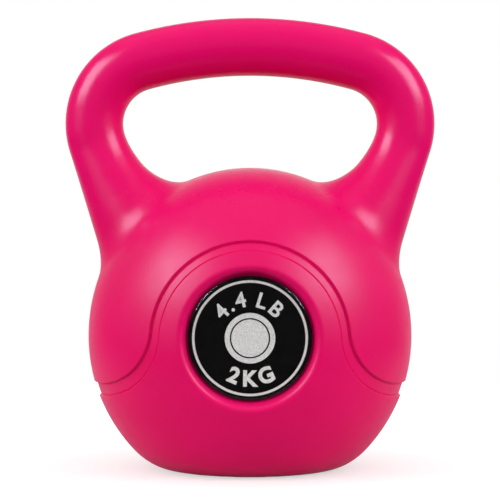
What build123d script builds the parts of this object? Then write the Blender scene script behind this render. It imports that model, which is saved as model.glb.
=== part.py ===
from build123d import *
import os
from math import asin, atan2, degrees, hypot, sqrt

# A two-kilogram kettlebell: a blow-moulded plastic shell that is filled with cement through a hole in its
# base, with a domed badge in a pocket on its front and on its back. Sizes are in millimetres and degrees.
# The base stands on z = 0, the handle runs along X and the front looks along -Y.

# Ball: two half ellipses that meet at its widest height, cut flat below and rounded into that flat
ball_width = 128.8
ball_center_height = 52.7
ball_crown_height = 66.8
ball_belly_height = 65.2
base_rounding = 24.5

# Handle: a round tube along a shallow arch and two corners, carried by two horns that widen into the ball
overall_height = 179.4
handle_width = 147.7
grip_diameter = 23.2
grip_arch_radius = 165.0
corner_radius = 25.8
horn_lean = 18.1
horn_outer_lead = 11.6
horn_inner_lead = 18.2
horn_outer_root_cover = 10.5
horn_outer_root_rise = 13.9
horn_inner_root_offset = 1.1
horn_inner_root_rise = 32.9
horn_root_depth = 56.0
horn_depth_growth = 1.6
horn_fillet = 15.0
horn_fillet_window_share = 0.54
horn_sections = 9

# Shell wall and filling
wall = 3.0
fill_gap = 0.3

# Badge stack, from the pocket's floor outwards
badge_diameter = 46.0
badge_center_height = 54.2
adhesive_inset = 1.0
adhesive_thickness = 0.5
label_thickness = 0.8
foil_thickness = 0.2
foil_clearance = 0.05
foil_ring_inset = 1.7
foil_ring_width = 0.9
foil_disc_diameter = 18.6
dome_rim_height = 0.7
dome_height = 1.4
dome_edge_radius = 0.6

# Badge pocket, its depth taken from the front of the ball
pocket_depth = 9.9
pocket_clearance = 0.3
pocket_draft = 25.0
pocket_lip_radius = 2.0

# Channel that arches over the pocket and flares out to both sides
channel_outer_arch_radius = 37.6
channel_inner_arch_radius = 33.5
channel_flare_inset = 3.4
channel_outer_flare_rise = 5.9
channel_inner_flare_rise = 3.9
channel_depth = 0.8
cutter_margin = 5.0

# Filler hole in the base and the plug that is pressed into it
filler_hole_diameter = 24.0
base_recess_diameter = 36.0
base_recess_depth = 1.2
plug_setback = 0.2
plug_flange_clearance = 0.3
plug_stem_clearance = 0.1
plug_stem_wall = 1.6
plug_stem_reach = 4.0
plug_bead_height = 0.5
plug_floor = 1.2

os.makedirs("parts", exist_ok=True)

ball_radius = ball_width / 2
pocket_floor_reach = ball_radius - pocket_depth
label_reach = pocket_floor_reach + adhesive_thickness
dome_reach = label_reach + label_thickness
foil_ring_radius = badge_diameter / 2 - foil_ring_inset
window_height = overall_height - grip_diameter - ball_center_height - ball_crown_height
join_radius = min(horn_fillet, window_height * horn_fillet_window_share)
quarter_weight = 4 / 3 * (sqrt(2) - 1)
base_plane = Plane((0, 0, 0), x_dir=(1, 0, 0), z_dir=(0, 0, -1))


def quarter_ellipse(half_width, end_height):
    """A quarter of an ellipse, from the ball's widest point to its top or bottom."""
    rise = (end_height - ball_center_height) * quarter_weight
    return Bezier(
        (half_width, ball_center_height),
        (half_width, ball_center_height + rise),
        (half_width * quarter_weight, end_height),
        (0, end_height),
    )


def ball_form(inset):
    """The ball, with its skin moved inwards by an inset."""
    with BuildPart() as form:
        with BuildSketch(Plane.YZ):
            with BuildLine():
                crown = quarter_ellipse(ball_radius - inset, ball_center_height + ball_crown_height - inset)
                belly = quarter_ellipse(ball_radius - inset, ball_center_height - ball_belly_height + inset)
                Line(crown @ 1, belly @ 1)
            make_face()
        revolve(axis=Axis.Z)
        split(bisect_by=Plane.XY.offset(inset))
        fillet(form.faces().sort_by(Axis.Z)[0].edges(), radius=base_rounding - inset)
    return form.part


def handle_form(inset):
    """Grip, corners and horns, down into the ball, with their skin moved inwards by an inset."""
    tube_radius = grip_diameter / 2 - inset
    root_half_depth = horn_root_depth / 2 - inset
    corner_center_offset = handle_width / 2 - grip_diameter / 2 - corner_radius
    grip_angle = degrees(asin(corner_center_offset / (grip_arch_radius - corner_radius)))
    with BuildLine(Plane.XZ) as center_line:
        grip = JernArc(
            start=(0, overall_height - grip_diameter / 2),
            tangent=(1, 0),
            radius=grip_arch_radius,
            arc_size=-grip_angle,
        )
        corner = JernArc(
            start=grip @ 1, tangent=grip % 1, radius=corner_radius, arc_size=grip_angle - 90 - horn_lean
        )
    downward = corner % 1
    outward = Vector(-downward.Z, 0, downward.X)
    outer_start = corner @ 1 + outward * tube_radius
    inner_start = corner @ 1 - outward * tube_radius
    outer_root = Vector(ball_radius - horn_outer_root_cover, 0, ball_center_height + horn_outer_root_rise)
    inner_root = Vector(horn_inner_root_offset, 0, ball_center_height + horn_inner_root_rise)
    root_inset = (outer_root - inner_root).normalized() * inset
    with BuildLine(Plane.XZ):
        outer_edge = Bezier(outer_start, outer_start + downward * horn_outer_lead, outer_root - root_inset)
        inner_edge = Bezier(inner_start, inner_start + downward * horn_inner_lead, inner_root + root_inset)
    with BuildPart() as handle:
        for step in range(horn_sections):
            share = step / (horn_sections - 1)
            outer = outer_edge.position_at(share, position_mode=PositionMode.PARAMETER)
            inner = inner_edge.position_at(share, position_mode=PositionMode.PARAMETER)
            across = outer - inner
            half_depth = tube_radius + (root_half_depth - tube_radius) * share**horn_depth_growth
            with BuildSketch(Plane((outer + inner) / 2, x_dir=across, z_dir=across.cross(Axis.Y.direction))):
                Ellipse(across.length / 2, half_depth)
        loft()
        with BuildSketch(Plane(grip @ 0, x_dir=(0, 1, 0), z_dir=(1, 0, 0))):
            Circle(tube_radius)
        sweep(path=center_line.wire())
        mirror(about=Plane.YZ)
    return handle.part


def body_form(inset):
    """Ball and handle as one body, with rounded joins, and its skin moved inwards by an inset."""
    ball = ball_form(inset)
    handle = handle_form(inset)
    with BuildPart() as body:
        add(ball)
        add(handle)
        fillet(body.edges(Select.NEW), radius=join_radius)
    return body.part


def badge_plane(reach):
    """A plane across the front badge, at a reach from the ball's axis and facing out of the pocket."""
    return Plane((0, -reach, badge_center_height), x_dir=(1, 0, 0), z_dir=(0, -1, 0))


def pocket_form(growth):
    """The two badge pockets, with their walls moved outwards by a growth."""
    with BuildPart() as pockets:
        with BuildSketch(badge_plane(pocket_floor_reach - growth)):
            Circle(badge_diameter / 2 + pocket_clearance + growth)
        extrude(amount=pocket_depth + growth, taper=-pocket_draft)
        mirror(about=Plane.XZ)
    return pockets.part


def channel_line(arch_radius, flare_rise):
    """The area under one edge of the channel: an arch about the ball's centre and a flare on both sides."""
    flare_offset = ball_radius - channel_flare_inset
    flare_height = ball_center_height + flare_rise
    flare_radius = hypot(flare_offset, flare_rise) - arch_radius
    meeting_angle = degrees(atan2(flare_rise, flare_offset))
    foot_height = flare_height - flare_radius
    side = ball_radius + cutter_margin
    with BuildSketch(Plane.XZ) as area:
        with BuildLine():
            flare = CenterArc((flare_offset, flare_height), flare_radius, 270, meeting_angle - 90)
            mirror(flare, about=Plane.YZ)
            CenterArc((0, ball_center_height), arch_radius, meeting_angle, 180 - 2 * meeting_angle)
            Polyline(
                (flare_offset, foot_height),
                (side, foot_height),
                (side, -cutter_margin),
                (-side, -cutter_margin),
                (-side, foot_height),
                (-flare_offset, foot_height),
            )
        make_face()
    return area.sketch


def channel_form():
    """The skin of the ball that the channel takes away, front and back."""
    outer_area = channel_line(channel_outer_arch_radius, channel_outer_flare_rise)
    inner_area = channel_line(channel_inner_arch_radius, channel_inner_flare_rise)
    channel_floor = ball_form(channel_depth)
    with BuildPart() as channel:
        extrude(outer_area, amount=ball_radius + cutter_margin, both=True)
        extrude(inner_area, amount=ball_radius + cutter_margin, both=True, mode=Mode.SUBTRACT)
        add(channel_floor, mode=Mode.SUBTRACT)
    return channel.part


# Shell: the moulding with its channel, badge pockets, hollow and filler hole
outer_body = body_form(0)
channel = channel_form()
pockets = pocket_form(0)
cavity = body_form(wall)
pocket_backs = pocket_form(wall)
with BuildPart() as hollow:
    add(cavity)
    add(pocket_backs, mode=Mode.SUBTRACT)
with BuildPart() as shell:
    add(outer_body)
    add(channel, mode=Mode.SUBTRACT)
    add(pockets, mode=Mode.SUBTRACT)
    lips = shell.edges(Select.NEW).filter_by(lambda edge: abs(edge.center().Y) > dome_reach)
    fillet(lips, radius=pocket_lip_radius)
    add(hollow.part, mode=Mode.SUBTRACT)
    with Locations(base_plane):
        CounterBoreHole(
            radius=filler_hole_diameter / 2,
            counter_bore_radius=base_recess_diameter / 2,
            counter_bore_depth=base_recess_depth,
            depth=wall + cutter_margin,
        )
shell.part.label = "shell"
export_step(shell.part, "parts/shell.step")

# Filler plug: a flange in the base recess and a hollow stem with a snap bead behind the wall
stem_radius = filler_hole_diameter / 2 - plug_stem_clearance
bead_radius = filler_hole_diameter / 2 + plug_bead_height
bead_start = wall + plug_stem_clearance
bead_end = bead_start + 2 * plug_bead_height
stem_end = wall + plug_stem_reach
bore_radius = stem_radius - plug_stem_wall
flange_radius = base_recess_diameter / 2 - plug_flange_clearance
with BuildPart() as filler_plug:
    with BuildSketch(Plane.XZ):
        with BuildLine():
            Polyline(
                (0, plug_setback),
                (flange_radius, plug_setback),
                (flange_radius, base_recess_depth),
                (stem_radius, base_recess_depth),
                (stem_radius, bead_start),
                (bead_radius, bead_end - plug_bead_height),
                (stem_radius, bead_end),
                (stem_radius - plug_bead_height, stem_end),
                (bore_radius, stem_end),
                (bore_radius, plug_setback + plug_floor),
                (0, plug_setback + plug_floor),
                close=True,
            )
        make_face()
    revolve(axis=Axis.Z)
filler_plug.part.label = "filler_plug"
export_step(filler_plug.part, "parts/filler_plug.step")

# Cement core: it fills the hollow up to a small gap all round and leaves a pit over the plug
core_body = body_form(wall + fill_gap)
core_pockets = pocket_form(wall + fill_gap)
with BuildPart() as cement_core:
    add(core_body)
    add(core_pockets, mode=Mode.SUBTRACT)
    with BuildSketch(Plane.XY):
        Circle(bead_radius + fill_gap)
    extrude(amount=stem_end + fill_gap, mode=Mode.SUBTRACT)
cement_core.part.label = "cement_core"
export_step(cement_core.part, "parts/cement_core.step")

# Badge adhesive pad
with BuildPart() as adhesive:
    with BuildSketch(badge_plane(pocket_floor_reach)):
        Circle(badge_diameter / 2 - adhesive_inset)
    extrude(amount=adhesive_thickness)

# Badge foil: a ring and a disc that lie flush in the label's face
with BuildPart() as foil:
    with BuildSketch(badge_plane(dome_reach - foil_thickness)):
        Circle(foil_ring_radius)
        Circle(foil_ring_radius - foil_ring_width, mode=Mode.SUBTRACT)
        Circle(foil_disc_diameter / 2)
    extrude(amount=foil_thickness)

# Badge label: a disc with seats for the foil
with BuildPart() as label:
    with BuildSketch(badge_plane(label_reach)):
        Circle(badge_diameter / 2)
    extrude(amount=label_thickness)
    with BuildSketch(badge_plane(dome_reach)):
        Circle(foil_ring_radius + foil_clearance)
        Circle(foil_ring_radius - foil_ring_width - foil_clearance, mode=Mode.SUBTRACT)
        Circle(foil_disc_diameter / 2 + foil_clearance)
    extrude(amount=-foil_thickness, mode=Mode.SUBTRACT)

# Badge dome: clear resin with a low crown and a rounded edge
dome_radius = badge_diameter / 2
dome_rise = dome_height - dome_rim_height
dome_crown_radius = (dome_radius**2 + dome_rise**2) / (2 * dome_rise)
dome_section = Plane((0, -dome_reach, badge_center_height), x_dir=(0, 0, 1), z_dir=(1, 0, 0))
with BuildPart() as dome:
    with BuildSketch(dome_section):
        with BuildLine():
            crown = RadiusArc((0, dome_height), (dome_radius, dome_rim_height), dome_crown_radius)
            Polyline(crown @ 1, (dome_radius, 0), (0, 0), crown @ 0)
        make_face()
    revolve(axis=Axis((0, 0, badge_center_height), (0, -1, 0)))
    rim = dome.edges().filter_by(lambda edge: edge.is_closed).sort_by(Axis.Y)[0]
    fillet(rim, radius=dome_edge_radius)

# The front badge as built, and the rear badge as its mirror image
badge_pieces = {"adhesive": adhesive, "foil": foil, "label": label, "dome": dome}
for name, piece in badge_pieces.items():
    with BuildPart() as rear_piece:
        mirror(piece.part, about=Plane.XZ)
    for side, built in (("front", piece), ("rear", rear_piece)):
        built.part.label = f"{side}_badge_{name}"
        export_step(built.part, f"parts/{side}_badge_{name}.step")
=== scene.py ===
"""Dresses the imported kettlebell: a moulded pink shell with a channel and two badge pockets, and its badges."""

import logging
import math
from collections.abc import Callable, Iterable
from dataclasses import dataclass, field
from enum import Enum

import bmesh
import bpy
import numpy as np
from mathutils import Matrix, Vector


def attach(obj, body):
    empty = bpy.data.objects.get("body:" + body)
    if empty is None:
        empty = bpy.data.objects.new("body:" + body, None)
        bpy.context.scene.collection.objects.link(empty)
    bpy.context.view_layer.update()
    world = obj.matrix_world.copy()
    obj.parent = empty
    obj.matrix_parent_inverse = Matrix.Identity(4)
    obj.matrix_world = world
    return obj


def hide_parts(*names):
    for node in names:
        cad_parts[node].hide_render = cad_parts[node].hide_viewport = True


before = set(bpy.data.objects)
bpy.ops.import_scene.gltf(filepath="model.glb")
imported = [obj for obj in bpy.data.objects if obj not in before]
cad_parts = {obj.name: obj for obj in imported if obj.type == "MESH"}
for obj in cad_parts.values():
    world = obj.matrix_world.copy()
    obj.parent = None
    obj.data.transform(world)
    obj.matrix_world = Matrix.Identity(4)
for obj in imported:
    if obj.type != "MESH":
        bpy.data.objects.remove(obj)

Array = np.ndarray
Socket = bpy.types.NodeSocket
Material = bpy.types.Material
Object = bpy.types.Object
MeshEdit = bmesh.types.BMesh

MM = 0.001
BODY = "root"
AXIS_Y, AXIS_Z = Vector((0, 1, 0)), Vector((0, 0, 1))
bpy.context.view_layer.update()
TINY = 1e-9
MERGE = 0.001 * MM
ROUND_STEPS = 96
SHARP_ANGLE = math.radians(40.0)

logging.basicConfig(level=logging.INFO, format="%(message)s")
log = logging.getLogger("kettlebell")


class Side(Enum):
    """The two faces of the kettlebell that carry a badge, each with its turn about the upright axis."""

    FRONT = 0.0
    REAR = math.pi

    @property
    def word(self) -> str:
        """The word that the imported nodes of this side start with."""
        return self.name.lower()

    @property
    def turn(self) -> Matrix:
        """The turn that brings a piece of the front to this side."""
        return Matrix.Rotation(self.value, 4, "Z")


def round_join(first: Array, second: Array, cosine: Array, radius: Array) -> Array:
    """Joins two forms with a rounded inner corner.

    Args:
        first: Distance of each point from the first form's skin, positive outside.
        second: The same for the second form.
        cosine: Cosine of the angle between the two skins' outward directions.
        radius: Radius of the rounding.

    Returns:
        Distance of each point from the joined skin.
    """
    square = np.maximum(1.0 - cosine**2, 1e-3)
    a, b = first - radius, second - radius
    inside = (a < b * cosine) & (b < a * cosine)
    reach = np.sqrt(np.maximum(a * a + b * b - 2.0 * a * b * cosine, 0.0) / square)
    return np.where(inside, radius - reach, np.minimum(first, second))


def round_cut(form: Array, cutter: Array, cosine: Array, radius: float) -> Array:
    """Cuts a form with a cutter and rounds the outer edge that the cut leaves.

    Args:
        form: Distance of each point from the form's skin, positive outside.
        cutter: Distance of each point from the cutter's skin, positive outside it.
        cosine: Cosine of the angle between the form's outward and the cutter's outward direction.
        radius: Radius of the rounding.

    Returns:
        Distance of each point from the cut form's skin.
    """
    return -round_join(-form, cutter, -cosine, radius)


def link(thing: Object) -> None:
    """Puts an object into the scene."""
    bpy.context.scene.collection.objects.link(thing)


def read(items: bpy.types.bpy_prop_collection, name: str) -> Array:
    """Reads a vector of every item of a mesh's collection, one in each row."""
    values = np.empty(len(items) * 3)
    items.foreach_get(name, values)
    return values.reshape(-1, 3)


@dataclass(frozen=True)
class BallForm:
    """The ball: two half ellipsoids on a flat base with a rounded edge."""

    radius: float = 64.4 * MM
    center_height: float = 52.7 * MM
    crown: float = 66.8 * MM
    belly: float = 65.2 * MM
    base_rounding: float = 24.5 * MM

    def gap(self, points: Array) -> tuple[Array, Array]:
        """Measures the ball.

        Args:
            points: Positions, one in each row.

        Returns:
            Distance of each point from the skin, and the skin's outward direction there.
        """
        local = points - (0.0, 0.0, self.center_height)
        rise = np.where(local[:, 2] > 0.0, self.crown, self.belly)
        scale = np.stack([np.full_like(rise, self.radius)] * 2 + [rise], axis=1)
        level = np.linalg.norm(local / scale, axis=1)
        slope = local / scale**2 / level[:, None]
        steep = np.linalg.norm(slope, axis=1)
        skin = (level - 1.0) / steep
        outward = slope / steep[:, None]
        height = points[:, 2]
        return -round_join(-skin, height, -outward[:, 2], self.base_rounding), outward


@dataclass(frozen=True)
class HandleForm:
    """The handle: a round grip along an arch, a corner on each side and two horns that widen downwards."""

    top: float = 179.4 * MM
    width: float = 147.7 * MM
    grip_radius: float = 11.6 * MM
    arch_radius: float = 165.0 * MM
    corner_radius: float = 25.8 * MM
    horn_lean: float = math.radians(18.1)
    outer_lead: float = 11.6 * MM
    inner_lead: float = 18.2 * MM
    outer_root: tuple[float, float] = (53.9 * MM, 66.6 * MM)
    inner_root: tuple[float, float] = (1.1 * MM, 85.6 * MM)
    root_half_depth: float = 28.0 * MM
    depth_growth: float = 1.6
    probe: float = 0.1 * MM
    share_rounds: int = 8
    share_step: float = 0.3
    steepest: float = 1.3

    @property
    def corner_x(self) -> float:
        """How far the corner's centre lies from the middle."""
        return self.width / 2 - self.grip_radius - self.corner_radius

    @property
    def arch_z(self) -> float:
        """Height of the arch's centre."""
        return self.top - self.grip_radius - self.arch_radius

    @property
    def grip_angle(self) -> float:
        """Angle from the top of the arch to where the corner starts."""
        return math.asin(self.corner_x / (self.arch_radius - self.corner_radius))

    @property
    def corner_z(self) -> float:
        """Height of the corner's centre."""
        return self.arch_z + (self.arch_radius - self.corner_radius) * math.cos(self.grip_angle)

    @property
    def corner_end(self) -> float:
        """Angle from upright at which the corner runs into the horn."""
        return math.pi / 2 + self.horn_lean

    def arc_gap(self, points: Array, center: tuple[float, float], radius: float,
                start: float, end: float) -> Array:
        """Measures a stretch of the round tube.

        Args:
            points: Positions, one in each row, folded to the +X side.
            center: X and Z of the arc's centre.
            radius: Radius of the tube's centre line.
            start: First angle of the arc, from upright.
            end: Last angle of the arc.

        Returns:
            Distance of each point from the tube's skin.
        """
        x, z = points[:, 0] - center[0], points[:, 2] - center[1]
        middle, half = (start + end) / 2, (end - start) / 2
        turn = np.arctan2(x, z) - middle
        turn = np.clip((turn + math.pi) % (2 * math.pi) - math.pi, -half, half) + middle
        along = np.hypot(x - radius * np.sin(turn), z - radius * np.cos(turn))
        return np.hypot(along, points[:, 1]) - self.grip_radius

    def horn_edges(self) -> list[Array]:
        """Gives the horn's outer and inner edge, each as the three factors of a quadratic curve in X and Z."""
        down = np.array([-math.sin(self.horn_lean), -math.cos(self.horn_lean)])
        outward = np.array([-down[1], down[0]])
        end = np.array([self.corner_x, self.corner_z]) + self.corner_radius * outward
        edges = []
        for side, lead, root in ((1, self.outer_lead, self.outer_root), (-1, self.inner_lead, self.inner_root)):
            start = end + side * self.grip_radius * outward
            bend = start + lead * down
            edges.append(np.array([start, 2 * (bend - start), np.array(root) - 2 * bend + start]))
        return edges

    def half_depth(self, share: float | Array) -> float | Array:
        """Half the horn's depth at a share of its way down."""
        return self.grip_radius + (self.root_half_depth - self.grip_radius) * share**self.depth_growth

    def horn_section(self, share: float, side: int) -> Matrix:
        """Gives the place of one of the horn's elliptical sections.

        Args:
            share: How far down the horn it lies, 0 to 1.
            side: 1 for the horn on +X, -1 for the other.

        Returns:
            The matrix that brings a flat circle of radius 1 across Z to the section.
        """
        outer, inner = (np.array([1.0, share, share**2]) @ edge * (side, 1) for edge in self.horn_edges())
        middle, across = (outer + inner) / 2, (outer - inner) / 2
        first = Vector((across[0], 0, across[1]))
        columns = (first, AXIS_Y * self.half_depth(share), first.cross(AXIS_Y))
        turn = Matrix([column.to_4d() for column in columns] + [Vector((0, 0, 0, 1))]).transposed()
        return Matrix.Translation((middle[0], 0, middle[1])) @ turn

    def horn_level(self, points: Array) -> tuple[Array, Array]:
        """Places points against the horn's elliptical sections.

        Args:
            points: Positions, one in each row, folded to the +X side.

        Returns:
            Level of each point, 0 on the skin, and its place across the section, -1 inside to 1 outside.
        """
        outer, inner = self.horn_edges()
        flat = points[:, [0, 2]]
        share = np.full(len(points), 0.5)
        for _ in range(self.share_rounds):
            powers = share[:, None] ** (0, 1, 2)
            rates = powers[:, [0, 0, 1]] * (0, 1, 2)
            low, across = powers @ inner, powers @ (outer - inner)
            low_rate, across_rate = rates @ inner, rates @ (outer - inner)
            away = flat - low
            miss = across[:, 0] * away[:, 1] - across[:, 1] * away[:, 0]
            rate = (across_rate[:, 0] * away[:, 1] - across_rate[:, 1] * away[:, 0]
                    - across[:, 0] * low_rate[:, 1] + across[:, 1] * low_rate[:, 0])
            rate = np.where(np.abs(rate) < TINY, TINY, rate)
            share = np.clip(share - np.clip(miss / rate, -self.share_step, self.share_step), 0.0, 1.0)
        powers = share[:, None] ** (0, 1, 2)
        low, high = powers @ inner, powers @ outer
        half = np.linalg.norm(high - low, axis=1) / 2
        direction = (high - low) / (2 * half[:, None])
        away = flat - (low + high) / 2
        side = np.sum(away * direction, axis=1) / half
        off = (away[:, 0] * direction[:, 1] - away[:, 1] * direction[:, 0]) / half
        return np.sqrt(side**2 + off**2 + (points[:, 1] / self.half_depth(share)) ** 2) - 1.0, side

    def horn_gap(self, points: Array) -> tuple[Array, Array, Array]:
        """Measures the horn.

        Args:
            points: Positions, one in each row, folded to the +X side.

        Returns:
            Distance of each point from the skin, the skin's outward direction, and the place across the section.
        """
        level, side = self.horn_level(points)
        slope = np.zeros_like(points)
        for axis in range(3):
            step = np.zeros(3)
            step[axis] = self.probe
            rise = self.horn_level(points + step)[0] - self.horn_level(points - step)[0]
            slope[:, axis] = rise / (2 * self.probe)
        steep = np.clip(np.linalg.norm(slope, axis=1), 1e-6, self.steepest / self.grip_radius)
        return level / steep, slope / steep[:, None], side

    def tube_gap(self, points: Array) -> Array:
        """Distance of each point, folded to the +X side, from the skin of the grip and its corner."""
        grip = self.arc_gap(points, (0.0, self.arch_z), self.arch_radius, -self.grip_angle, self.grip_angle)
        corner = (self.corner_x, self.corner_z)
        bend = self.arc_gap(points, corner, self.corner_radius, self.grip_angle, self.corner_end)
        return np.minimum(grip, bend)


@dataclass(frozen=True)
class ChannelEdge:
    """One edge of the channel, seen from the front: an arch over the badge and a flare to each side."""

    arch_radius: float
    flare_rise: float
    flare_x: float = 61.0 * MM

    def inward(self, x: Array, rise: Array) -> Array:
        """Measures points against the edge.

        Args:
            x: Distance of each point from the middle, to either side.
            rise: Height of each point above the ball's centre.

        Returns:
            Distance of each point from the edge, positive on the badge's side.
        """
        flare_radius = math.hypot(self.flare_x, self.flare_rise) - self.arch_radius
        arch = self.arch_radius - np.hypot(x, rise)
        flare = np.hypot(x - self.flare_x, rise - self.flare_rise) - flare_radius
        run_out = self.flare_rise - flare_radius - rise
        below = rise * self.flare_x < x * self.flare_rise
        return np.where(x > self.flare_x, run_out, np.where(below, flare, arch))


@dataclass
class Shell:
    """The moulded shell, shaped as one skin over a rough block-out of ball and handle."""

    ball: BallForm = field(default_factory=BallForm)
    handle: HandleForm = field(default_factory=HandleForm)
    join_inner: float = 17.5 * MM
    join_front: float = 12.0 * MM
    join_outer: float = 21.0 * MM
    join_start: float = 9.0 * MM
    channel_outer: ChannelEdge = ChannelEdge(37.6 * MM, 5.9 * MM)
    channel_inner: ChannelEdge = ChannelEdge(33.5 * MM, 3.9 * MM)
    channel_depth: float = 0.9 * MM
    channel_foot: float = 0.32 * MM
    channel_outer_steps: tuple[float, ...] = (0.0, 0.6 * MM, 0.9 * MM)
    channel_inner_steps: tuple[float, ...] = (-0.95 * MM, -0.45 * MM, 0.0)
    badge_height: float = 54.2 * MM
    pocket_reach: float = 54.5 * MM
    pocket_radius: float = 23.3 * MM
    pocket_draft: float = math.radians(25.0)
    lip_radius: float = 2.0 * MM
    recess_radius: float = 18.0 * MM
    recess_depth: float = 1.2 * MM
    recess_rounding: float = 0.4 * MM
    recess_slope: float = 3.0
    halvings: int = 24
    inset: float = 0.08 * MM
    voxel: float = 2.0 * MM
    detail_reaches: tuple[float, ...] = (2.0 * MM, 0.9 * MM, 0.3 * MM)
    finest: float = 0.5 * MM
    snap: float = 0.13 * MM
    relax: float = 0.5
    stride: float = 1.0 * MM

    def body_gap(self, points: Array) -> tuple[Array, Array]:
        """Measures ball and handle with their rounded joins.

        Args:
            points: Positions, one in each row.

        Returns:
            Distance of each point from the skin, and the ball's outward direction there.
        """
        skin, outward = self.ball.gap(points)
        near = points[:, 2] > self.ball.center_height + self.join_start
        high, ball_outward = points[near], outward[near]
        for rows in (high, ball_outward):
            rows[:, 0] = np.abs(rows[:, 0])
        horn, horn_outward, side = self.handle.horn_gap(high)
        radius = np.interp(side, (-1.0, 0.0, 1.0), (self.join_inner, self.join_front, self.join_outer))
        joined = round_join(skin[near], horn, np.sum(ball_outward * horn_outward, axis=1), radius)
        skin[near] = np.minimum(joined, self.handle.tube_gap(high))
        return skin, outward

    @property
    def channel_edges(self) -> tuple[tuple[ChannelEdge, tuple[float, ...]], ...]:
        """The channel's two edges, each with the places of its lines across it."""
        return (self.channel_outer, self.channel_outer_steps), (self.channel_inner, self.channel_inner_steps)

    def channel_drop(self, points: Array) -> Array:
        """How deep the channel sinks the skin at each point."""
        x = np.abs(points[:, 0])
        rise = points[:, 2] - self.ball.center_height
        deep, foot = self.channel_depth, self.channel_depth + self.channel_foot
        down = np.interp(self.channel_outer.inward(x, rise), self.channel_outer_steps, (0.0, foot, deep))
        up = np.interp(self.channel_inner.inward(x, rise), self.channel_inner_steps, (deep, foot, 0.0))
        return down * up / deep

    def sharpen_channel(self, mesh: bpy.types.Mesh) -> None:
        """Draws the points nearest to the channel's lines onto them.

        Args:
            mesh: The mesh, drawn onto the body's skin and divided along the channel.
        """
        points = read(mesh.vertices, "co")
        on_ball = self.ball.gap(points)[0] < self.channel_depth
        for edge, offset in [(edge, step) for edge, steps in self.channel_edges for step in steps]:
            x, rise = np.abs(points[:, 0]), points[:, 2] - self.ball.center_height
            far = edge.inward(x, rise) - offset
            near = on_ball & (np.abs(far) < self.snap)
            step = 0.01 * MM
            slope_x = (edge.inward(x + step, rise) - edge.inward(x - step, rise)) / (2 * step)
            slope_z = (edge.inward(x, rise + step) - edge.inward(x, rise - step)) / (2 * step)
            points[near, 0] -= (far * slope_x * np.sign(points[:, 0]))[near]
            points[near, 2] -= (far * slope_z)[near]
        mesh.vertices.foreach_set("co", points.ravel())
        mesh.update()

    def pocket_gap(self, points: Array) -> tuple[Array, Array]:
        """Measures the two badge pockets.

        Args:
            points: Positions, one in each row.

        Returns:
            Distance of each point from the pocket's skin, positive outside it, and the wall's outward direction.
        """
        depth = np.abs(points[:, 1]) - self.pocket_reach
        rise = points[:, 2] - self.badge_height
        radius = np.maximum(np.hypot(points[:, 0], rise), TINY)
        cosine, sine = math.cos(self.pocket_draft), math.sin(self.pocket_draft)
        wall = (radius - self.pocket_radius) * cosine - depth * sine
        outward = np.stack([points[:, 0] / radius * cosine, -np.sign(points[:, 1]) * sine,
                            rise / radius * cosine], axis=1)
        return np.maximum(wall, -depth), outward

    def pocket_skin(self, points: Array) -> Array:
        """Distance of each point from the skin with its channel and its badge pockets."""
        skin, outward = self.body_gap(points)
        pocket, wall = self.pocket_gap(points)
        return round_cut(skin + self.drop(points), pocket, np.sum(outward * wall, axis=1), self.lip_radius)

    def recess_skin(self, points: Array) -> Array:
        """Distance of each point from the flat base with its recess."""
        length = math.hypot(self.recess_slope, 1.0)
        draft = (np.hypot(points[:, 0], points[:, 1]) - self.recess_radius) * self.recess_slope + points[:, 2]
        recess = np.maximum(draft / length, points[:, 2] - self.recess_depth)
        return round_cut(-points[:, 2], recess, np.full(len(points), -1 / length), self.recess_rounding)

    def drop(self, points: Array) -> Array:
        """How deep the skin, with its channel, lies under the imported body's skin at each point."""
        return self.channel_drop(points) + self.inset

    def press(self, mesh: bpy.types.Mesh) -> None:
        """Presses the channel, the badge pockets and the base's recess into the skin.

        Args:
            mesh: The mesh, drawn onto the body's skin.
        """
        points, normals = read(mesh.vertices, "co"), read(mesh.vertex_normals, "vector")
        base = points[:, 2] < self.inset
        points -= self.drop(points)[:, None] * normals * ~base[:, None]
        near = np.hypot(points[:, 0], points[:, 2] - self.badge_height) < self.pocket_radius + 4 * self.lip_radius
        pocket = near & (np.abs(points[:, 1]) > self.pocket_radius)
        self.seek(points, pocket, 1, self.pocket_reach, self.ball.radius, self.pocket_skin)
        recess = base & (np.hypot(points[:, 0], points[:, 1]) < self.recess_radius + self.recess_rounding)
        self.seek(points, recess, 2, self.recess_depth, 0.0, self.recess_skin)
        mesh.vertices.foreach_set("co", points.ravel())
        mesh.update()

    def seek(self, points: Array, chosen: Array, axis: int, inside: float, outside: float,
             skin: Callable[[Array], Array]) -> None:
        """Moves chosen points along an axis onto a skin.

        Args:
            points: All positions, one in each row.
            chosen: True for each point to move.
            axis: The axis to move along.
            inside: Distance along the axis that lies inside the form.
            outside: Distance along the axis that lies on or outside it.
            skin: Gives each point's distance from the skin.
        """
        part = points[chosen]
        sign = np.where(part[:, axis] < 0.0, -1.0, 1.0)
        low, high = np.full(len(part), inside), np.full(len(part), outside)
        for _ in range(self.halvings):
            middle = (low + high) / 2
            part[:, axis] = sign * middle
            out = skin(part) > 0.0
            low, high = np.where(out, low, middle), np.where(out, middle, high)
        points[chosen] = part

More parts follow.
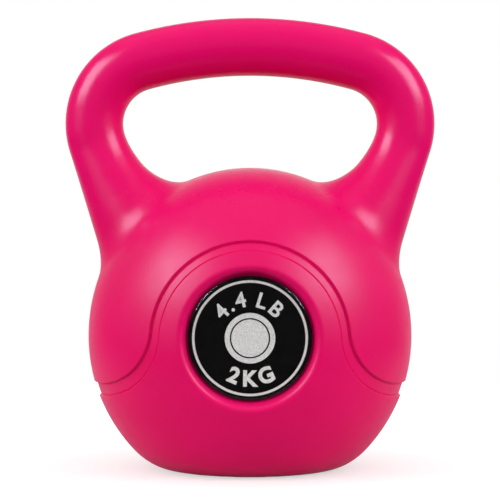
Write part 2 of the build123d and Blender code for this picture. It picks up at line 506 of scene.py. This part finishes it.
    def needs_detail(self, points: Array, reach: float) -> Array:
        """Finds where the skin needs a finer mesh.

        Args:
            points: Positions, one in each row.
            reach: How far from a detail the finer mesh starts.

        Returns:
            True for each point that lies near the channel, a pocket's lip or the base's recess.
        """
        x, y, z = np.abs(points[:, 0]), np.abs(points[:, 1]), points[:, 2]
        rise = z - self.ball.center_height
        on_ball = self.ball.gap(points)[0] < self.channel_depth
        channel = np.zeros(len(points), bool)
        for edge, steps in self.channel_edges:
            inward = edge.inward(x, rise)
            channel |= on_ball & (inward > steps[0] - reach) & (inward < steps[-1] + reach)
        rim = self.pocket_radius + self.lip_radius
        lip = (np.abs(np.hypot(x, z - self.badge_height) - rim) < self.lip_radius + reach) & (y > rim)
        recess = (np.abs(np.hypot(x, y) - self.recess_radius) < reach) & (z < self.recess_depth + reach)
        return channel | ((lip | recess) & (reach > self.finest))

    def block_out(self) -> bpy.types.Mesh:
        """Makes a rough closed form of ball and handle and gives it an even mesh.

        Returns:
            The remeshed block-out.
        """
        bm = bmesh.new()
        ball = bmesh.ops.create_uvsphere(bm, u_segments=64, v_segments=32, radius=self.ball.radius)
        bmesh.ops.translate(bm, verts=ball["verts"], vec=AXIS_Z * self.ball.center_height)
        cut = bmesh.ops.bisect_plane(bm, geom=bm.verts[:] + bm.edges[:] + bm.faces[:], plane_co=(0, 0, 0),
                                     plane_no=-AXIS_Z, clear_outer=True)
        bmesh.ops.edgeloop_fill(bm, edges=[e for e in cut["geom_cut"] if isinstance(e, bmesh.types.BMEdge)])
        form = self.handle
        for side in (1, -1):
            upright = Matrix.Translation((0, 0, form.top - form.grip_radius)) @ Matrix.Rotation(math.pi / 2, 4, "Y")
            ring = bmesh.ops.create_circle(bm, cap_ends=True, segments=32, radius=form.grip_radius, matrix=upright)
            geom = list({f for v in ring["verts"] for f in v.link_faces})
            bends = (((0, 0, form.arch_z), form.grip_angle, 8),
                     ((side * form.corner_x, 0, form.corner_z), form.corner_end - form.grip_angle, 12))
            for center, angle, steps in bends:
                spun = bmesh.ops.spin(bm, geom=geom, cent=center, axis=AXIS_Y, angle=side * angle, steps=steps)
                geom = [g for g in spun["geom_last"] if isinstance(g, bmesh.types.BMFace)]
            last = form.horn_section(0.0, side)
            for share in (0.25, 0.5, 0.75, 1.0):
                section = form.horn_section(share, side)
                grown = bmesh.ops.extrude_face_region(bm, geom=geom)["geom"]
                geom = [g for g in grown if isinstance(g, bmesh.types.BMFace)]
                verts = [g for g in grown if isinstance(g, bmesh.types.BMVert)]
                bmesh.ops.transform(bm, verts=verts, matrix=section @ last.inverted())
                last = section
        bmesh.ops.recalc_face_normals(bm, faces=bm.faces[:])
        rough = bpy.data.meshes.new("shell_block_out")
        bm.to_mesh(rough)
        bm.free()
        carrier = bpy.data.objects.new("shell_block_out", rough)
        link(carrier)
        remesh = carrier.modifiers.new("Remesh", "REMESH")
        remesh.mode = "VOXEL"
        remesh.voxel_size = self.voxel
        even = bpy.data.meshes.new_from_object(carrier.evaluated_get(bpy.context.evaluated_depsgraph_get()))
        bpy.data.objects.remove(carrier)
        return even

    def fit(self, mesh: bpy.types.Mesh, idle: int, relaxed: int, plain: int) -> None:
        """Draws a mesh onto the body's skin.

        Args:
            mesh: The mesh to move.
            idle: Rounds that only even out the points.
            relaxed: Rounds that even out the points and draw them onto the skin.
            plain: Rounds that only draw them onto the skin.
        """
        points = read(mesh.vertices, "co")
        count, ends = len(points), np.empty(len(mesh.edges) * 2, np.int64)
        mesh.edges.foreach_get("vertices", ends)
        start, stop = ends[0::2], ends[1::2]
        links = np.bincount(ends, minlength=count)[:, None]
        for step in range(idle + relaxed + plain):
            if step < idle + relaxed:
                total = np.stack([np.bincount(start, points[stop, axis], count)
                                  + np.bincount(stop, points[start, axis], count) for axis in range(3)], axis=1)
                points += self.relax * (total / links - points)
            mesh.vertices.foreach_set("co", points.ravel())
            mesh.update()
            if step >= idle:
                far = np.clip(self.body_gap(points)[0], -self.stride, self.stride)
                points -= far[:, None] * read(mesh.vertex_normals, "vector")
        mesh.vertices.foreach_set("co", points.ravel())
        mesh.update()

    def refine(self, mesh: bpy.types.Mesh, reach: float) -> None:
        """Divides the faces of a mesh near its details.

        Args:
            mesh: The mesh to divide.
            reach: How far from a detail faces are divided.
        """
        bm = bmesh.new()
        bm.from_mesh(mesh)
        centers = np.array([f.calc_center_median() for f in bm.faces])
        chosen = self.needs_detail(centers, reach)
        edges = {e for f, near in zip(bm.faces, chosen) if near for e in f.edges}
        bmesh.ops.subdivide_edges(bm, edges=list(edges), cuts=1, use_grid_fill=True)
        bmesh.ops.triangulate(bm, faces=[f for f in bm.faces if len(f.verts) > 4])
        bm.to_mesh(mesh)
        bm.free()

    def build(self, finish: "MouldedPlastic") -> None:
        """Shapes, dresses and places the shell.

        Args:
            finish: The plastic's finish.
        """
        mesh = self.block_out()
        self.fit(mesh, idle=12, relaxed=20, plain=4)
        for reach in self.detail_reaches:
            self.refine(mesh, reach)
            self.fit(mesh, idle=0, relaxed=2, plain=2)
        self.sharpen_channel(mesh)
        self.fit(mesh, idle=0, relaxed=0, plain=2)
        self.press(mesh)
        mesh.polygons.foreach_set("use_smooth", np.ones(len(mesh.polygons), bool))
        mesh.materials.clear()
        mesh.materials.append(finish.material())
        piece = bpy.data.objects.new("moulded_shell", mesh)
        place(piece, "shell_plastic", ["shell"])


def place(piece: Object, slot: str, nodes: Iterable[str] = ()) -> None:
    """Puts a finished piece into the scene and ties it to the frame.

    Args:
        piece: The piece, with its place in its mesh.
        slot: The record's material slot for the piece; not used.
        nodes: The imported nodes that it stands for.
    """
    link(piece)
    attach(piece, BODY)
    if nodes:
        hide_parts(*nodes)
    log.info("piece %s: %d faces, stands for %s", piece.name, len(piece.data.polygons), ", ".join(nodes) or "no node")


class NodeBoard:
    """A node tree with short calls for what the finishes and the studio need."""

    def __init__(self, owner: Material | bpy.types.World) -> None:
        """Clears the owner's node tree.

        Args:
            owner: The material or world.
        """
        owner.use_nodes = True
        self.owner = owner
        self.tree = owner.node_tree
        self.tree.nodes.clear()
        kind = "World" if isinstance(owner, bpy.types.World) else "Material"
        self.output = self.add(f"ShaderNodeOutput{kind}")
        self.space = self.add("ShaderNodeTexCoord")
        self.position = self.space.outputs["Object"]

    @classmethod
    def material(cls, name: str) -> "NodeBoard":
        """Starts an empty material."""
        return cls(bpy.data.materials.new(name))

    def add(self, kind: str, values: dict | None = None, **settings: object) -> bpy.types.Node:
        """Adds a node.

        Args:
            kind: The node's type.
            values: Inputs by name or number, each a plain value or a socket to link.
            **settings: The node's own options.

        Returns:
            The new node.
        """
        node = self.tree.nodes.new(kind)
        for name, value in settings.items():
            setattr(node, name, value)
        for name, value in (values or {}).items():
            if isinstance(value, Socket):
                self.tree.links.new(value, node.inputs[name])
            else:
                node.inputs[name].default_value = value
        return node

    def math(self, operation: str, first: object, second: object) -> Socket:
        """Combines two numbers."""
        return self.add("ShaderNodeMath", {0: first, 1: second}, operation=operation).outputs[0]

    def spread(self, value: Socket, low: float, high: float,
               first: float = 0.3, last: float = 0.7) -> Socket:
        """Spreads a number's range, for a noise its middle one, between two others."""
        values = {"Value": value, "From Min": first, "From Max": last, "To Min": low, "To Max": high}
        return self.add("ShaderNodeMapRange", values).outputs["Result"]

    def seen(self, mirrored: float = 1.0) -> Socket:
        """Gives 1 for rays that come straight from the camera, and a share for those off gloss or through glass."""
        path = self.add("ShaderNodeLightPath").outputs
        gloss = self.math("MAXIMUM", path["Is Glossy Ray"], path["Is Transmission Ray"])
        return self.math("MAXIMUM", path["Is Camera Ray"], self.math("MULTIPLY", gloss, mirrored))

    def noise(self, size: float, detail: float = 2.0) -> Socket:
        """Gives a noise whose patches are about a size across, in metres."""
        values = {"Vector": self.position, "Scale": 1.0 / size, "Detail": detail}
        return self.add("ShaderNodeTexNoise", values).outputs["Fac"]

    def blend(self, share: Socket, *ends: tuple | Socket) -> Socket:
        """Mixes two colours, each given as numbers or by a socket, by a share."""
        first, second = (end if isinstance(end, Socket) else (*end, 1.0) for end in ends)
        return self.add("ShaderNodeMix", {"Factor": share, 6: first, 7: second}, data_type="RGBA").outputs[2]

    def mottle(self, size: float, first: tuple, second: tuple, detail: float = 2.0) -> Socket:
        """Mixes two colours in patches of a size."""
        return self.blend(self.spread(self.noise(size, detail), 0.0, 1.0), first, second)

    def patchy(self, size: float, ends: tuple[float, float]) -> Socket:
        """Gives a number that goes between two others in patches of a size."""
        return self.spread(self.noise(size), *ends)

    def bump(self, height: Socket, distance: float) -> Socket:
        """Turns a height into a bumped direction."""
        return self.add("ShaderNodeBump", {"Height": height, "Distance": distance, "Strength": 1.0}).outputs[0]

    def surface(self, values: dict) -> Material:
        """Gives the material a common surface with some inputs."""
        return self.show(self.add("ShaderNodeBsdfPrincipled", values))

    def show(self, node: bpy.types.Node) -> Material | bpy.types.World:
        """Links a shader to the output and gives the material or world."""
        self.tree.links.new(node.outputs[0], self.output.inputs["Surface"])
        return self.owner


@dataclass(frozen=True)
class MouldedPlastic:
    """Satin moulded plastic with a fine mould grain, its colour painted lighter over the handle as painted light from
    above.
    """

    name: str = "hot_pink_plastic"
    color: tuple = (0.80, 0.002, 0.128)
    deep_color: tuple = (0.75, 0.002, 0.113)
    # Painted light: a lighter, pinker colour for the handle, standing in for the light from above on the grip.
    handle_lit_color: tuple = (0.82, 0.003, 0.142)
    roughness: tuple = (0.35, 0.41)
    handle_polish: float = 0.14
    polish_rise: tuple = (85 * MM, 115 * MM)
    handle_light_rise: tuple = (85 * MM, 125 * MM)
    specular: float = 0.11
    grain: float = 1.1 * MM
    grain_height: float = 0.04 * MM
    color_patch: float = 30 * MM
    rough_patch: float = 6 * MM

    def material(self) -> Material:
        """Builds the material."""
        board = NodeBoard.material(self.name)
        height = board.add("ShaderNodeSeparateXYZ", {0: board.position}).outputs["Z"]
        colour = board.mottle(self.color_patch, self.color, self.deep_color)
        # Painted light: the colour turns lighter up the handle, where light from above falls.
        colour = board.blend(board.spread(height, 0.0, 1.0, *self.handle_light_rise), colour, self.handle_lit_color)
        polish = board.spread(height, 0.0, self.handle_polish, *self.polish_rise)
        rough = board.math("SUBTRACT", board.patchy(self.rough_patch, self.roughness), polish)
        normal = board.bump(board.noise(self.grain, detail=3.0), self.grain_height)
        return board.surface({"Base Color": colour, "Roughness": rough, "Normal": normal,
                              "Specular IOR Level": self.specular})


@dataclass(frozen=True)
class PrintedFinish:
    """A thin layer on the badge's label, black print or silver foil, in two mottled colours."""

    name: str
    color: tuple
    second_color: tuple
    color_patch: float
    color_detail: float
    roughness: tuple
    rough_patch: float
    specular: float

    def material(self) -> Material:
        """Builds the material."""
        board = NodeBoard.material(self.name)
        colour = board.mottle(self.color_patch, self.color, self.second_color, self.color_detail)
        return board.surface({"Base Color": colour, "Roughness": board.patchy(self.rough_patch, self.roughness),
                              "Specular IOR Level": self.specular})


LABEL_PRINT = PrintedFinish("black_label_print", (0.0024, 0.0021, 0.0017), (0.0034, 0.0030, 0.0025),
                            color_patch=2 * MM, color_detail=2.0, roughness=(0.38, 0.50), rough_patch=4 * MM,
                            specular=0.05)
SILVER_FOIL = PrintedFinish("silver_foil", (0.56, 0.55, 0.54), (0.90, 0.89, 0.88),
                            color_patch=0.35 * MM, color_detail=4.0, roughness=(0.42, 0.58), rough_patch=3 * MM,
                            specular=0.5)


@dataclass(frozen=True)
class ClearResin:
    """Clear cast resin, with gloss on top but none on the side that sticks to the label."""

    name: str = "clear_resin"
    glossy: bool = True
    mirror: float = 0.04
    falloff: float = 5.0
    roughness: tuple = (0.11, 0.15)
    rough_patch: float = 8 * MM

    def material(self) -> Material:
        """Builds the material."""
        board = NodeBoard.material(self.name)
        clear = board.add("ShaderNodeBsdfTransparent")
        if not self.glossy:
            return board.show(clear)
        gloss = board.add("ShaderNodeBsdfGlossy", {"Roughness": board.patchy(self.rough_patch, self.roughness)})
        grazing = board.add("ShaderNodeLayerWeight", {"Blend": 0.5}).outputs["Facing"]
        share = board.spread(board.math("POWER", grazing, self.falloff), self.mirror, 1.0, 0.0, 1.0)
        return board.show(board.add("ShaderNodeMixShader", {0: share, 1: clear.outputs[0], 2: gloss.outputs[0]}))


@dataclass(frozen=True)
class GrainyMatte:
    """A matte finish with a grain, as cement and foam have it."""

    name: str
    color: tuple
    second_color: tuple
    grain: float
    height: float
    roughness: float = 0.85

    def material(self) -> Material:
        """Builds the material."""
        board = NodeBoard.material(self.name)
        grain = board.noise(self.grain, detail=5.0)
        colour = board.blend(board.spread(grain, 0.0, 1.0), self.color, self.second_color)
        return board.surface({"Base Color": colour, "Roughness": self.roughness,
                              "Normal": board.bump(grain, self.height)})


CEMENT = GrainyMatte("grey_cement", (0.33, 0.32, 0.30), (0.22, 0.21, 0.20), grain=1.2 * MM, height=0.3 * MM)
FOAM = GrainyMatte("white_adhesive_foam", (0.75, 0.75, 0.73), (0.66, 0.66, 0.64), grain=0.4 * MM, height=0.05 * MM)


@dataclass(frozen=True)
class SatinBlack:
    """Black moulded plastic, as the filler plug has it."""

    name: str = "black_plug_plastic"
    color: tuple = (0.020, 0.020, 0.022)
    second_color: tuple = (0.030, 0.030, 0.032)
    roughness: tuple = (0.40, 0.55)
    color_patch: float = 5 * MM
    grain: float = 0.5 * MM
    grain_height: float = 0.01 * MM

    def material(self) -> Material:
        """Builds the material."""
        board = NodeBoard.material(self.name)
        grain = board.noise(self.grain, detail=3.0)
        return board.surface({"Base Color": board.mottle(self.color_patch, self.color, self.second_color),
                              "Roughness": board.spread(grain, *self.roughness),
                              "Normal": board.bump(grain, self.grain_height)})


def lathe(bm: MeshEdit, steps: int = ROUND_STEPS) -> None:
    """Turns the profile in a mesh, drawn in X and Z, once round the Z axis and closes it.

    Args:
        bm: The mesh with the profile's edges.
        steps: How many steps the turn has.
    """
    bmesh.ops.spin(bm, geom=bm.verts[:] + bm.edges[:], cent=(0, 0, 0), axis=AXIS_Z, angle=2 * math.pi,
                   steps=steps, use_merge=True)
    bmesh.ops.remove_doubles(bm, verts=bm.verts[:], dist=MERGE)
    bmesh.ops.recalc_face_normals(bm, faces=bm.faces[:])


def draw_profile(bm: MeshEdit, corners: Iterable[tuple[float, float]]) -> None:
    """Draws straight profile edges in X and Z, one corner after the other."""
    verts = [bm.verts.new((radius, 0, height)) for radius, height in corners]
    for ends in zip(verts, verts[1:]):
        bm.edges.new(ends)


def round_rims(bm: MeshEdit, rims: Iterable[tuple[float, float]], radius: float, segments: int) -> None:
    """Rounds the round edges of a turned mesh.

    Args:
        bm: The turned mesh.
        rims: Radius and height of each edge.
        radius: Radius of the rounding.
        segments: Segments of the rounding.
    """
    for reach, height in rims:
        edges = [e for e in bm.edges if all(math.isclose(v.co.xy.length, reach, abs_tol=5 * MERGE)
                                            and math.isclose(v.co.z, height, abs_tol=5 * MERGE) for v in e.verts)]
        bmesh.ops.bevel(bm, geom=edges, offset=radius, segments=segments, profile=0.5, affect="EDGES", material=-1)


def to_piece(name: str, bm: MeshEdit, matrix: Matrix, *finishes: object) -> Object:
    """Makes a smooth-shaded piece of a mesh.

    Args:
        name: The piece's name.
        bm: The mesh, which is freed.
        matrix: Brings the mesh to its place.
        *finishes: The piece's finishes, in the order of its faces' material numbers.

    Returns:
        The piece.
    """
    bmesh.ops.transform(bm, matrix=matrix, verts=bm.verts[:])
    mesh = bpy.data.meshes.new(name)
    bm.to_mesh(mesh)
    bm.free()
    mesh.shade_smooth()
    mesh.set_sharp_from_angle(angle=SHARP_ANGLE)
    for finish in finishes:
        mesh.materials.append(finish.material())
    return bpy.data.objects.new(name, mesh)


@dataclass(frozen=True)
class Marking:
    """A few letters on an arc of the label."""

    letters: tuple[tuple[str, float], ...]
    weight: float
    up: int


@dataclass
class Badge:
    """One of the two domed badges: label, foil, a plain weight marking and clear resin over them."""

    side: Side
    height: float = 54.2 * MM
    reach: float = 55.8 * MM
    radius: float = 23.0 * MM
    rim_height: float = 1.05 * MM
    dome_height: float = 1.4 * MM
    edge_radius: float = 0.9 * MM
    shoulder: float = 12.0
    lift: float = 0.02 * MM
    letter_height: float = 5.8 * MM
    letter_thickness: float = 0.06 * MM
    letter_radius: float = 14.6 * MM
    capital: float = 0.73
    dome_rings: int = 25
    dome_steps: int = 128
    lower_marking: Marking = Marking((("2", -23.5), ("K", -0.8), ("G", 23.5)), weight=0.04, up=-1)
    upper_marking: Marking = Marking((("4", -47.0), (".", -30.5), ("4", -14.0), ("L", 17.5), ("B", 42.0)),
                                     weight=0.02, up=1)
    disc_line_radius: float = 7.4 * MM
    disc_line_width: float = 0.5 * MM

    @property
    def stem(self) -> str:
        """What the names of this badge's nodes and pieces start with."""
        return f"{self.side.word}_badge"

    def stand(self) -> Matrix:
        """Gives the matrix that brings a flat face on Z to the label's face."""
        face = Matrix.Translation((0, -self.reach, self.height)) @ Matrix.Rotation(math.pi / 2, 4, "X")
        return self.side.turn @ face

    def letter(self, bm: MeshEdit, sign: str, weight: float, matrix: Matrix) -> None:
        """Adds a raised letter or number to a mesh.

        Args:
            bm: The mesh.
            sign: The letter.
            weight: How much its strokes are thickened.
            matrix: Brings the letter, centred and upright on Z, to its place.
        """
        curve = bpy.data.curves.new("letter", "FONT")
        curve.body = sign
        curve.align_x, curve.align_y = "CENTER", "BOTTOM_BASELINE"
        curve.resolution_u = 6
        curve.offset = weight
        curve.extrude = 0.5
        carrier = bpy.data.objects.new("letter", curve)
        link(carrier)
        mesh = bpy.data.meshes.new_from_object(carrier.evaluated_get(bpy.context.evaluated_depsgraph_get()))
        scale = self.letter_height / self.capital
        mesh.transform(matrix @ Matrix.Diagonal((scale, scale, self.letter_thickness, 1.0))
                       @ Matrix.Translation((0, -self.capital / 2, curve.extrude)))
        bm.from_mesh(mesh)
        bpy.data.objects.remove(carrier)
        bpy.data.curves.remove(curve)
        bpy.data.meshes.remove(mesh)

    def marking(self) -> None:
        """Sets the weight, in both units, on the label: letters on a lower and an upper arc."""
        bm = bmesh.new()
        for marking in (self.lower_marking, self.upper_marking):
            for sign, angle in marking.letters:
                turn = Matrix.Rotation(math.radians(-marking.up * angle), 4, "Z")
                spot = Matrix.Translation((0, marking.up * self.letter_radius, 0))
                self.letter(bm, sign, marking.weight, turn @ spot)
        bmesh.ops.remove_doubles(bm, verts=bm.verts[:], dist=MERGE)
        bmesh.ops.recalc_face_normals(bm, faces=bm.faces[:])
        piece = to_piece(f"{self.stem}_marking", bm, self.stand(), SILVER_FOIL)
        place(piece, "silver_foil")

    def disc_line(self) -> None:
        """Prints a thin black line round the foil's middle disc."""
        bm = bmesh.new()
        inner = self.disc_line_radius - self.disc_line_width
        corners = [(inner, 0), (self.disc_line_radius, 0), (self.disc_line_radius, self.letter_thickness),
                   (inner, self.letter_thickness), (inner, 0)]
        draw_profile(bm, corners)
        lathe(bm)
        piece = to_piece(f"{self.stem}_disc_line", bm, self.stand(), LABEL_PRINT)
        place(piece, "label_print")

    def dome(self) -> None:
        """Casts the clear dome over the label."""
        bm = bmesh.new()
        rise = self.dome_height - self.rim_height
        shares = np.linspace(1.0, 0.0, self.dome_rings)
        crown = [(self.radius * share, self.dome_height - rise * share**self.shoulder) for share in shares]
        draw_profile(bm, [(0, self.lift), (self.radius, self.lift), *crown])
        lathe(bm, self.dome_steps)
        round_rims(bm, [(self.radius, self.rim_height)], self.edge_radius, 6)
        for face in bm.faces:
            face.material_index = int(face.normal.z < -0.9)
        piece = to_piece(f"{self.stem}_clear_dome", bm, self.stand(), ClearResin(),
                         ClearResin("clear_resin_underside", glossy=False))
        place(piece, "clear_resin", [f"{self.stem}_dome"])

    def build(self) -> None:
        """Builds the badge's new pieces and dresses its packed ones."""
        self.marking()
        self.disc_line()
        self.dome()
        dress(f"{self.stem}_label", LABEL_PRINT)
        dress(f"{self.stem}_foil", SILVER_FOIL)
        dress(f"{self.stem}_adhesive", FOAM)


def dress(node: str, finish: object) -> None:
    """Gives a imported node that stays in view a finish.

    Args:
        node: The node's name.
        finish: The finish.
    """
    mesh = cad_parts[node].data
    mesh.materials.clear()
    mesh.materials.append(finish.material())
    log.info("node %s: %s", node, finish.name)


@dataclass
class FillerPlug:
    """The plug in the base: a flat flange with a rounded edge, a shallow ring and a gate mark."""

    flange_radius: float = 17.7 * MM
    face_height: float = 0.2 * MM
    flange_thickness: float = 1.0 * MM
    ring_outer: float = 12.0 * MM
    ring_inner: float = 11.0 * MM
    ring_depth: float = 0.25 * MM
    gate_radius: float = 1.6 * MM
    edge_radius: float = 0.3 * MM

    def build(self) -> None:
        """Turns the plug and puts it into the base's recess."""
        face, ring = self.face_height, self.face_height + self.ring_depth
        top = self.face_height + self.flange_thickness
        bm = bmesh.new()
        draw_profile(bm, [(0, ring), (self.gate_radius, ring), (self.gate_radius, face), (self.ring_inner, face),
                          (self.ring_inner, ring), (self.ring_outer, ring), (self.ring_outer, face),
                          (self.flange_radius, face), (self.flange_radius, top), (0, top)])
        lathe(bm)
        round_rims(bm, [(self.flange_radius, face)], self.edge_radius, 4)
        round_rims(bm, [(r, face) for r in (self.gate_radius, self.ring_inner, self.ring_outer)],
                   self.edge_radius / 3, 2)
        piece = to_piece("turned_filler_plug", bm, Matrix(), SatinBlack())
        place(piece, "plug_plastic", ["filler_plug"])


@dataclass(frozen=True)
class Softbox:
    """A soft lamp that looks at the kettlebell, for its colours or for its gloss alone."""

    name: str
    place: tuple[float, float, float]
    size: tuple[float, float]
    power: float
    color: tuple = (1.0, 1.0, 1.0)
    gloss_only: bool = False

    def hang(self, aim: Vector) -> None:
        """Hangs the lamp so that it looks at a point."""
        data = bpy.data.lights.new(self.name, "AREA")
        data.shape = "RECTANGLE"
        data.size, data.size_y = self.size
        data.energy, data.color = self.power, self.color
        lamp = bpy.data.objects.new(self.name, data)
        lamp.location = self.place
        lamp.rotation_euler = (aim - lamp.location).to_track_quat("-Z", "Y").to_euler()
        lamp.visible_diffuse, lamp.visible_glossy = not self.gloss_only, self.gloss_only
        link(lamp)


@dataclass
class Studio:
    """Pale floor, white surroundings, soft light and the photograph's camera."""

    camera_distance: float = 0.68
    camera_height: float = 0.0866
    lens: float = 122.4
    sensor: float = 36.0
    aim: Vector = field(default_factory=lambda: Vector((0, 0, 0.09)))
    floor_center: float = 0.16
    floor_radius: float = 0.30
    floor_drop: float = 0.1 * MM
    floor_color: float = 0.54
    floor_mirrored: float = 0.1
    # Painted shadow: the floor's glow is lower near the object, a darker pool round the base.
    floor_glow_with_painted_shadow: tuple[float, float] = (0.55, 1.0)
    painted_shadow_reach: tuple[float, float] = (0.08, 0.16)
    light_range: tuple[float, float] = (0.04, 0.86)
    light_rise: tuple[float, float] = (-0.16, 0.18)
    room: float = 0.03
    backdrop: tuple[float, float] = (0.55, 1.05)
    softboxes: tuple[Softbox, ...] = (
        Softbox("left_softbox", (-0.90, -0.46, 0.38), (0.60, 0.60), 5.2),
        Softbox("right_softbox", (0.90, -0.46, 0.38), (0.60, 0.60), 5.2),
        Softbox("left_sheen", (-0.74, -0.36, 0.66), (0.60, 0.50), 26.0, (0.60, 0.80, 1.0), True),
        Softbox("right_sheen", (0.74, -0.36, 0.66), (0.60, 0.50), 24.0, (0.60, 0.80, 1.0), True),
        Softbox("top_sheen", (0.0, 0.0, 1.20), (1.20, 1.20), 3.2, (0.80, 0.90, 1.0), True),
    )

    def surround(self) -> None:
        """Sets the surroundings: soft light from above, white behind the object and a dark room before it."""
        world = bpy.data.worlds.new("studio")
        board = NodeBoard(world)
        direction = board.add("ShaderNodeSeparateXYZ", {0: board.space.outputs["Generated"]}).outputs
        light = board.spread(direction["Z"], *self.light_range, *self.light_rise)
        camera = board.add("ShaderNodeLightPath").outputs["Is Camera Ray"]
        white = board.math("MAXIMUM", camera, board.spread(direction["Y"], self.room, 1.0, *self.backdrop))
        strength = board.add("ShaderNodeMix", {"Factor": board.seen(), 2: light, 3: white}).outputs[0]
        board.show(board.add("ShaderNodeBackground", {"Color": (1, 1, 1, 1), "Strength": strength}))
        bpy.context.scene.world = world

    def floor(self) -> None:
        """Lays the pale floor, whose glow is weaker near the object as a painted shadow round the base, and which
        fades into the white surroundings.
        """
        bm = bmesh.new()
        bmesh.ops.create_circle(bm, cap_ends=True, segments=ROUND_STEPS, radius=self.floor_radius)
        bmesh.ops.translate(bm, verts=bm.verts[:], vec=(0, self.floor_center, -self.floor_drop))
        mesh = bpy.data.meshes.new("floor")
        bm.to_mesh(mesh)
        bm.free()
        board = NodeBoard.material("pale_floor")
        matte = board.add("ShaderNodeBsdfDiffuse", {"Color": (*[self.floor_color] * 3, 1.0)})
        away = board.add("ShaderNodeVectorMath", {0: board.position}, operation="LENGTH").outputs["Value"]
        # Painted shadow: the glow drops near the object, a darker pool round the base on top of the real shadow on
        # the matte part.
        shadow_fade = board.spread(away, *self.floor_glow_with_painted_shadow, *self.painted_shadow_reach)
        glow = board.math("MULTIPLY", board.seen(self.floor_mirrored), shadow_fade)
        white = board.add("ShaderNodeEmission", {"Color": (1, 1, 1, 1), "Strength": glow})
        both = board.add("ShaderNodeAddShader", {0: matte.outputs[0], 1: white.outputs[0]})
        mesh.materials.append(board.show(both))
        piece = bpy.data.objects.new("floor", mesh)
        link(piece)

    def camera(self) -> None:
        """Sets the camera, level and straight in front."""
        data = bpy.data.cameras.new("camera")
        data.lens, data.sensor_width = self.lens, self.sensor
        view = bpy.data.objects.new("camera", data)
        view.location = (0, -self.camera_distance, self.camera_height)
        view.rotation_euler = (math.pi / 2, 0, 0)
        link(view)
        bpy.context.scene.camera = view

    def build(self) -> None:
        """Sets up the whole studio."""
        bpy.context.scene.view_settings.view_transform = "Standard"
        self.surround()
        self.floor()
        for softbox in self.softboxes:
            softbox.hang(self.aim)
        self.camera()
        log.info("studio: %d softboxes", len(self.softboxes))


def main() -> None:
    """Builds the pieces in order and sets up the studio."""
    Shell().build(MouldedPlastic())
    FillerPlug().build()
    for side in Side:
        Badge(side).build()
    dress("cement_core", CEMENT)
    Studio().build()


if __name__ == "__main__":
    main()
